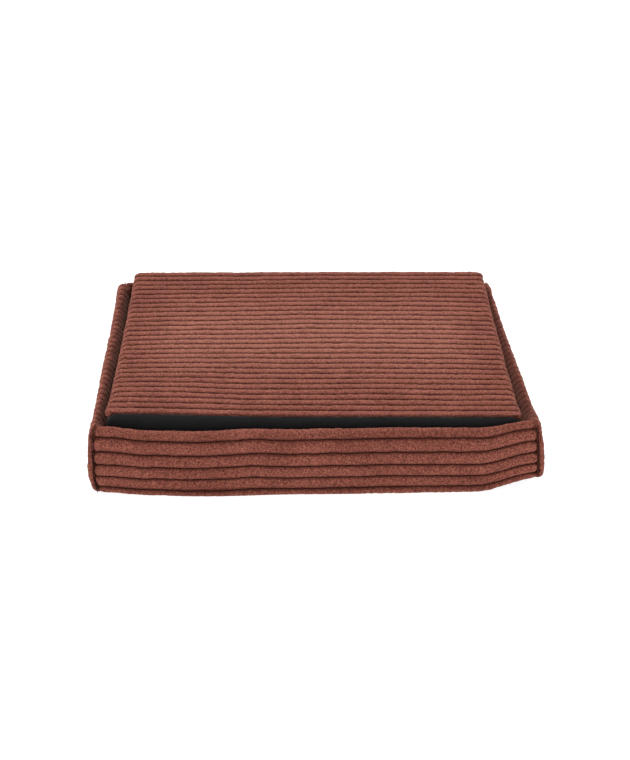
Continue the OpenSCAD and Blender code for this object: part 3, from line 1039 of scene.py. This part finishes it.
def rounded_loop(corners, radius, count=5):
    """A closed outline with its corners rounded off."""
    corners = np.array(corners, float)
    loop = []
    for before, here, after in zip(np.roll(corners, 1, 0), corners, np.roll(corners, -1, 0)):
        back, on = before - here, after - here
        start = here + back * min(radius / np.linalg.norm(back), 0.5)
        end = here + on * min(radius / np.linalg.norm(on), 0.5)
        for t in np.linspace(0, 1, count):
            loop.append((1 - t) ** 2 * start + 2 * t * (1 - t) * here + t * t * end)
    return loop


UPRIGHT = Matrix(((1, 0, 0, 0), (0, 0, -1, 0), (0, 1, 0, 0), (0, 0, 0, 1)))
FLAT = Matrix.Identity(4)


def plate(loops, thick, bevel, middle, turn):
    """A flat plate with rounded edges from closed outlines, the first outside and the others holes."""
    curve = bpy.data.curves.new("plate", "CURVE")
    curve.dimensions = "2D"
    curve.fill_mode = "BOTH"
    curve.extrude = (thick / 2 - bevel) * MM
    curve.bevel_depth = bevel * MM
    curve.bevel_resolution = 2
    curve.offset = -bevel * MM
    for loop in loops:
        spline = curve.splines.new("POLY")
        spline.points.add(len(loop) - 1)
        for point, (u, v) in zip(spline.points, loop):
            point.co = (u * MM, v * MM, 0, 1)
        spline.use_cyclic_u = True
    holder = bpy.data.objects.new("plate", curve)
    mesh = bpy.data.meshes.new_from_object(holder)
    bpy.data.objects.remove(holder)
    bpy.data.curves.remove(curve)
    mesh.transform(Matrix.Translation(Vector(middle) * MM) @ turn)
    return mesh


def joined(name, meshes, angle=0.6):
    """One object from several meshes, smooth but for its sharp edges."""
    bm = bmesh.new()
    for mesh in meshes:
        bm.from_mesh(mesh)
    bmesh.ops.remove_doubles(bm, verts=bm.verts, dist=0.003 * MM)
    bmesh.ops.recalc_face_normals(bm, faces=bm.faces)
    made = bpy.data.meshes.new(name)
    bm.to_mesh(made)
    bm.free()
    for mesh in meshes:
        bpy.data.meshes.remove(mesh)
    made.shade_smooth()
    made.set_sharp_from_angle(angle=angle)
    obj = bpy.data.objects.new(name, made)
    bpy.context.scene.collection.objects.link(obj)
    return obj


def bare_mesh(points, faces):
    """A mesh without an object, from points in millimetres."""
    obj = mesh_object("part", points, faces)
    mesh = obj.data
    bpy.data.objects.remove(obj)
    return mesh


def shield(half, wide):
    """The slider's outline: broad shoulders at the end where the zip opens, narrower behind."""
    upper = [
        (-half, wide * 0.62),
        (-half * 0.55, wide * 0.80),
        (half * 0.15, wide),
        (half * 0.72, wide * 0.96),
        (half, wide * 0.55),
        (half * 0.86, 0),
    ]
    lower = [(u, -v) for u, v in upper[-2::-1]]
    return rounded_loop(upper + lower, 1.3)


def zip_slider():
    """Two plates, a web between the coils, turned-in lips, and a bridge that holds the pull."""
    half = SLIDER_HALF
    tall = (SLIDER_HIGH[2] - SLIDER_LOW[2]) / 2
    bridge_foot = PIN_Y - PIN_R - 0.25
    outer_y = bridge_foot - PLATE_T / 2
    inner_y = SLIDER_LOW[1] + PLATE_T / 2
    meshes = [
        plate([shield(half, tall)], PLATE_T, PLATE_EDGE, (SLIDER_X, outer_y, ZIP_Z), UPRIGHT),
        plate([shield(half, tall - 1)], PLATE_T, PLATE_EDGE, (SLIDER_X, inner_y, ZIP_Z), UPRIGHT),
    ]
    for side in (-1, 1):
        lip = [(-half * 0.8, tall * 0.72), (half * 0.15, tall * 0.9), (half * 0.7, tall * 0.86)]
        path = [(SLIDER_X + u, outer_y - 0.85, ZIP_Z + side * v) for u, v in lip]
        fine = straight(path[0], path[1], 5) + straight(path[1], path[2], 5)[1:]
        meshes.append(bare_mesh(*tube(fine, 0.42, 8)))
    web = block_points(
        (SLIDER_X + half - 3.2, inner_y + 0.4, ZIP_Z - 0.4),
        (SLIDER_X + half - 1.2, outer_y - 0.4, ZIP_Z + 0.4),
        0.3,
        0.7,
    )
    meshes.append(bare_mesh(*web))
    top = SLIDER_HIGH[1]
    foot, thick = bridge_foot - 0.3, 1.1
    outer = [(BRIDGE_HALF - 1.3, top), (BRIDGE_HALF, top - 1.6), (BRIDGE_HALF, foot)]
    inner = [(BRIDGE_HALF - thick, foot), (BRIDGE_HALF - thick, top - 2.0), (BRIDGE_HALF - 1.8, top - thick)]
    right = outer + inner
    left = [(-u, v) for u, v in right[::-1]]
    arch = left[3:] + right + left[:3]
    meshes.append(plate([rounded_loop(arch, 0.6)], BRIDGE_W, 0.3, (SLIDER_X, 0, ZIP_Z), FLAT))
    return stand_for(joined("zip_slider", meshes), "zip_slider")


def zip_pull():
    """A flat tab with a window round the bridge, a hole at its tip and a round pin bar."""
    w, far = PULL_HALF_W, PULL_LOW[0] - SLIDER_X
    near = PULL_HIGH[0] - SLIDER_X
    tip = [(far + w * (1 - math.sin(a)), w * math.cos(a)) for a in np.linspace(0, math.pi, 15)]
    shoulder = [(near - 0.6, -w), (near, -w + 0.6), (near, w - 0.6), (near - 0.6, w)]
    outline = tip + shoulder
    inner = BRIDGE_W / 2 + 0.4
    window = rounded_loop(
        [(-PULL_WINDOW, -inner), (-PIN_R, -inner), (-PIN_R, inner), (-PULL_WINDOW, inner)], 0.7
    )
    hole = [
        (far + w + PULL_HOLE_R * math.cos(a), PULL_HOLE_R * math.sin(a))
        for a in np.linspace(0, 2 * math.pi, 24, endpoint=False)
    ]
    body = plate([outline, window, hole], 2 * PIN_R, 0.3, (SLIDER_X, PIN_Y, ZIP_Z), UPRIGHT)
    ridge_start = (SLIDER_X + far + 2 * w + 0.8, PIN_Y, ZIP_Z)
    ridge_end = (SLIDER_X - PULL_WINDOW - 2.2, PIN_Y, ZIP_Z)
    ridge = bare_mesh(*tube(straight(ridge_start, ridge_end, 8), 0.95, 12))
    return stand_for(joined("zip_pull", [body, ridge]), "zip_pull")


# ---------- materials ----------


def new_material(name):
    """A material with its node tree and its shader."""
    made = bpy.data.materials.new(name)
    made.use_nodes = True
    return made, made.node_tree, made.node_tree.nodes["Principled BSDF"]


def add_node(tree, kind, **settings):
    """A new node with its settings."""
    node = tree.nodes.new(kind)
    for key, value in settings.items():
        setattr(node, key, value)
    return node


def tune(node, values):
    """Sets plain values on a node's sockets, by their names."""
    for name, value in values.items():
        node.inputs[name].default_value = value


def feed(tree, socket, value):
    """Links a socket to value, or sets it where value is a plain number or colour."""
    if isinstance(value, bpy.types.NodeSocket):
        tree.links.new(value, socket)
    else:
        socket.default_value = (*value, 1) if isinstance(value, tuple) else value


def place(tree):
    """The frame's own coordinates in millimetres."""
    coords = add_node(tree, "ShaderNodeTexCoord")
    mapping = add_node(tree, "ShaderNodeMapping")
    tune(mapping, {"Scale": (1 / MM,) * 3})
    tree.links.new(coords.outputs["Object"], mapping.inputs["Vector"])
    return mapping.outputs["Vector"]


def noise(tree, size, detail, rough=0.5):
    """Noise with lumps of that size in millimetres."""
    node = add_node(tree, "ShaderNodeTexNoise")
    tune(node, {"Scale": 1 / size, "Detail": detail, "Roughness": rough})
    tree.links.new(place(tree), node.inputs["Vector"])
    return node.outputs["Fac"]


def remap(tree, value, low, high, to_low, to_high):
    """value from low..high turned into to_low..to_high."""
    node = add_node(tree, "ShaderNodeMapRange", clamp=True)
    tune(node, {"From Min": low, "From Max": high, "To Min": to_low, "To Max": to_high})
    tree.links.new(value, node.inputs["Value"])
    return node.outputs["Result"]


def mixed(tree, share, first, second, how="MIX"):
    """One colour turned into another by share. Each of the three may be a plain value or a socket."""
    node = add_node(tree, "ShaderNodeMix", data_type="RGBA", blend_type=how)
    for index, value in ((0, share), (6, first), (7, second)):
        feed(tree, node.inputs[index], value)
    return node.outputs[2]


def maths(tree, kind, first, second):
    """A Math node's result from two values, each a number or a socket."""
    node = add_node(tree, "ShaderNodeMath", operation=kind)
    feed(tree, node.inputs[0], first)
    feed(tree, node.inputs[1], second)
    return node.outputs[0]


def grey(tree, value):
    """A colour of three equal parts."""
    node = add_node(tree, "ShaderNodeCombineXYZ")
    for socket in node.inputs:
        tree.links.new(value, socket)
    return node.outputs[0]


def bump(tree, shader, height, strength, depth):
    """Fine relief, depth in millimetres."""
    node = add_node(tree, "ShaderNodeBump")
    tune(node, {"Strength": strength, "Distance": depth * MM})
    tree.links.new(height, node.inputs["Height"])
    tree.links.new(node.outputs["Normal"], shader.inputs["Normal"])


def tuft_dips(tree, size):
    """0 at the tip of each tuft or pore, of that size in millimetres, rising towards the gaps between."""
    cells = add_node(tree, "ShaderNodeTexVoronoi", feature="F1")
    cells.inputs["Scale"].default_value = 1 / size
    tree.links.new(place(tree), cells.inputs["Vector"])
    return cells.outputs["Distance"]


def corduroy():
    """Brick-brown velvety pile with painted shade in its grooves and down the ribs' flanks, a painted
    highlight on the top's middle, fine speckle and slow patches.
    """
    made, tree, shader = new_material("corduroy")
    rib = add_node(tree, "ShaderNodeAttribute", attribute_name="rib").outputs["Fac"]
    painted_highlight = add_node(tree, "ShaderNodeAttribute", attribute_name="painted_highlight").outputs["Fac"]
    patch = remap(tree, noise(tree, 34, 2), 0.35, 0.65, 0, 1)
    colour = mixed(tree, patch, (0.180, 0.051, 0.038), (0.225, 0.067, 0.050))
    # painted highlight: the top's middle is mixed towards a paler brown
    colour = mixed(tree, remap(tree, painted_highlight, 0, 1, 0, 0.5), colour, (0.375, 0.145, 0.108))
    grain = noise(tree, 1.7, 5, rough=0.8)
    dips = tuft_dips(tree, 0.95)
    speckle = remap(tree, grain, 0.38, 0.64, 0.4, 2.0)
    shades = maths(tree, "MULTIPLY", speckle, remap(tree, dips, 0.1, 0.8, 1.15, 0.7))
    colour = mixed(tree, 1.0, colour, grey(tree, shades), "MULTIPLY")
    colour = mixed(tree, remap(tree, grain, 0.5, 0.64, 0, 0.45), colour, (0.34, 0.145, 0.075))
    # painted shade: the colour darkens to a near-black brown in the grooves and down the ribs' flanks,
    # following the rib attribute
    depth = remap(tree, rib, 0.12, 0.85, 0, 1)
    colour = mixed(tree, depth, (0.022, 0.0025, 0.0012), colour)
    tree.links.new(colour, shader.inputs["Base Color"])
    tune(shader, {"Roughness": 0.95, "Specular IOR Level": 0.05})
    tune(shader, {"Sheen Weight": 0.14, "Sheen Roughness": 0.5, "Sheen Tint": (1.0, 0.55, 0.42, 1)})
    bump(tree, shader, maths(tree, "SUBTRACT", grain, maths(tree, "MULTIPLY", dips, 0.5)), 0.6, 0.9)
    return made


def woven(name, dark, light, pitch, roughness, relief):
    """A plain woven cloth: two sets of threads crossing at that pitch in millimetres."""
    made, tree, shader = new_material(name)
    height = None
    for axis in ("X", "Y", "Z"):
        wave = add_node(tree, "ShaderNodeTexWave", wave_type="BANDS", bands_direction=axis)
        tune(wave, {"Scale": 1 / (pitch * 3.2), "Distortion": 0.6, "Detail": 1})
        tree.links.new(place(tree), wave.inputs["Vector"])
        height = wave.outputs["Fac"] if height is None else maths(tree, "ADD", height, wave.outputs["Fac"])
    fuzz = noise(tree, 24, 3)
    shade = maths(tree, "ADD", remap(tree, height, 0.4, 2.6, 0, 0.6), remap(tree, fuzz, 0.3, 0.7, 0, 0.4))
    tree.links.new(mixed(tree, shade, dark, light), shader.inputs["Base Color"])
    tune(shader, {"Roughness": roughness, "Specular IOR Level": 0.25})
    tune(shader, {"Sheen Weight": 0.03, "Sheen Roughness": 0.4})
    bump(tree, shader, height, relief, 0.15)
    return made


def porous(name, dark, light, pore, strength, depth):
    """Open-celled foam or fluffy wadding."""
    made, tree, shader = new_material(name)
    height = maths(tree, "ADD", tuft_dips(tree, pore), noise(tree, pore * 2.5, 3, rough=0.65))
    share = remap(tree, height, 0.5, 1.2, 0, 1)
    tree.links.new(mixed(tree, share, light, dark), shader.inputs["Base Color"])
    tune(shader, {"Roughness": 0.95, "Specular IOR Level": 0.1})
    bump(tree, shader, height, strength, depth)
    return made


def rubber():
    """Matt black rubber for the non-slip dots."""
    made, tree, shader = new_material("rubber")
    shade = remap(tree, noise(tree, 3, 3), 0.3, 0.7, 0, 1)
    colour = mixed(tree, shade, (0.010, 0.010, 0.011), (0.020, 0.020, 0.021))
    tree.links.new(colour, shader.inputs["Base Color"])
    tune(shader, {"Roughness": 0.72})
    bump(tree, shader, noise(tree, 0.5, 2), 0.3, 0.1)
    return made


def coated(name, dark, light, roughness, metallic, coat):
    """Black nylon or painted metal with slight wear in its sheen."""
    made, tree, shader = new_material(name)
    shade = remap(tree, noise(tree, 2.2, 4), 0.3, 0.7, 0, 1)
    tree.links.new(mixed(tree, shade, dark, light), shader.inputs["Base Color"])
    gloss = remap(tree, noise(tree, 1.1, 4), 0.3, 0.7, roughness - 0.07, roughness + 0.09)
    tree.links.new(gloss, shader.inputs["Roughness"])
    tune(shader, {"Metallic": metallic, "Coat Weight": coat, "Coat Roughness": 0.25})
    bump(tree, shader, noise(tree, 0.4, 2), 0.12, 0.05)
    return made


def finish_with(objects, material):
    """Gives objects a material."""
    for obj in objects:
        obj.data.materials.clear()
        obj.data.materials.append(material)


# ---------- the whole bed ----------

bands, tray_foams, base, lining, seams = make_tray()
dots = non_slip_dots()
top_panel = cushion_top()
under_panel = cushion_bottom()
sides = gusset()
facing = zip_facing()
core, wadding, bag = filling()
coils = [zip_coil("zip_coil_upper", 1), zip_coil("zip_coil_lower", -1)]
tapes = [zip_tape("zip_tape_upper"), zip_tape("zip_tape_lower")]
stops = zip_stops()
slider = zip_slider()
pull = zip_pull()
stitching = stitches("zip_stitching", (WINDOW_LOW - 1.6, WINDOW_HIGH + 1.3), 5)

finish_with([*bands, top_panel, seams], corduroy())
black = woven("plain_fabric", (0.0034, 0.0034, 0.0043), (0.0078, 0.0078, 0.0092), 0.42, 0.6, 0.5)
finish_with([lining, under_panel, sides, facing], black)
finish_with([stitching], coated("thread", (0.012,) * 3, (0.022,) * 3, 0.5, 0, 0))
grip = woven("non_slip_fabric", (0.010, 0.010, 0.011), (0.022, 0.022, 0.023), 0.8, 0.8, 0.7)
finish_with([base], grip)
finish_with([dots], rubber())
foam = porous("foam", (0.62, 0.55, 0.40), (0.80, 0.75, 0.60), 1.1, 0.8, 0.6)
finish_with([*tray_foams, core], foam)
fluff = porous("wadding", (0.70, 0.70, 0.68), (0.87, 0.87, 0.85), 2.4, 0.5, 0.8)
finish_with([wadding, bag], fluff)
tape_cloth = woven("zip_tape", (0.007, 0.007, 0.008), (0.018, 0.018, 0.019), 0.5, 0.7, 0.9)
finish_with(tapes, tape_cloth)
finish_with(coils, coated("zip_coil", (0.008,) * 3, (0.016,) * 3, 0.32, 0, 0.2))
painted = coated("zip_metal", (0.012,) * 3, (0.024,) * 3, 0.34, 0.35, 0.5)
finish_with([stops, slider, pull], painted)

for piece in (*bands, *tray_foams, base, lining, seams, dots):
    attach(piece, "tray")
for piece in (top_panel, under_panel, sides, facing, core, wadding, bag, *coils, *tapes, stops, stitching):
    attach(piece, "cushion")
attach(slider, "slider")
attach(pull, "pull")


# ---------- floor, lights and camera ----------

FLOOR_ALBEDO, FLOOR_GLOW = 0.36, 0.9  # a pale, softly lit studio table


def floor():
    """A wide pale studio floor that curves up into a backdrop all round, lit a little from below."""
    sides = 64
    turn = np.linspace(0, 2 * math.pi, sides, endpoint=False)
    flat = [(1, 0), (3000, 0), (4500, 0)]
    rising = [(5600, 250), (6500, 900), (7100, 1800), (7500, 3000), (7700, 4200)]
    curve = flat + rising
    points = [(r * math.cos(a), r * math.sin(a), z) for r, z in curve for a in turn]
    made = mesh_object("floor", points, grid_faces(len(curve), sides, wrap=True))
    material, shader = new_material("floor")[::2]
    tune(shader, {"Base Color": (FLOOR_ALBEDO,) * 3 + (1,), "Roughness": 0.9, "Specular IOR Level": 0.1})
    tune(shader, {"Emission Color": (1, 1, 1, 1), "Emission Strength": FLOOR_GLOW})
    made.data.materials.append(material)


def soft_sun(name, toward, strength, spread):
    """A very broad overhead light. toward is the direction its light comes from."""
    data = bpy.data.lights.new(name, "SUN")
    data.energy = strength
    data.angle = math.radians(spread)
    light = bpy.data.objects.new(name, data)
    bpy.context.scene.collection.objects.link(light)
    light.matrix_world = Vector(toward).to_track_quat("Z", "Y").to_matrix().to_4x4()


def surroundings(strength):
    """An even white room."""
    world = bpy.data.worlds.new("room")
    bpy.context.scene.world = world
    world.use_nodes = True
    tune(world.node_tree.nodes["Background"], {"Color": (1, 1, 1, 1), "Strength": strength})


def make_camera():
    """A long lens, a little above the bed and slightly to its left."""
    lens, distance = 88.1, 2.058
    rise, yaw, tilt = math.radians(21.8), math.radians(-2), math.radians(0.48)
    aim = Vector((5.6, 0, 32.2)) * MM
    back = Vector((math.sin(yaw) * math.cos(rise), -math.cos(yaw) * math.cos(rise), math.sin(rise)))
    level = back.cross(Vector((0, 0, -1))).normalized()
    up = back.cross(level)
    right = level * math.cos(tilt) + up * math.sin(tilt)
    up = up * math.cos(tilt) - level * math.sin(tilt)
    data = bpy.data.cameras.new("camera")
    data.lens = lens
    data.sensor_width = 36
    data.clip_end = 50
    camera = bpy.data.objects.new("camera", data)
    bpy.context.scene.collection.objects.link(camera)
    axes = Matrix((right, up, back)).transposed().to_4x4()
    camera.matrix_world = Matrix.Translation(aim + back * distance) @ axes
    bpy.context.scene.camera = camera


floor()
surroundings(0.42)
soft_sun("overhead", (-0.25, 0.6, 1.0), 3.0, 30)
make_camera()
bpy.context.scene.view_settings.view_transform = "Standard"
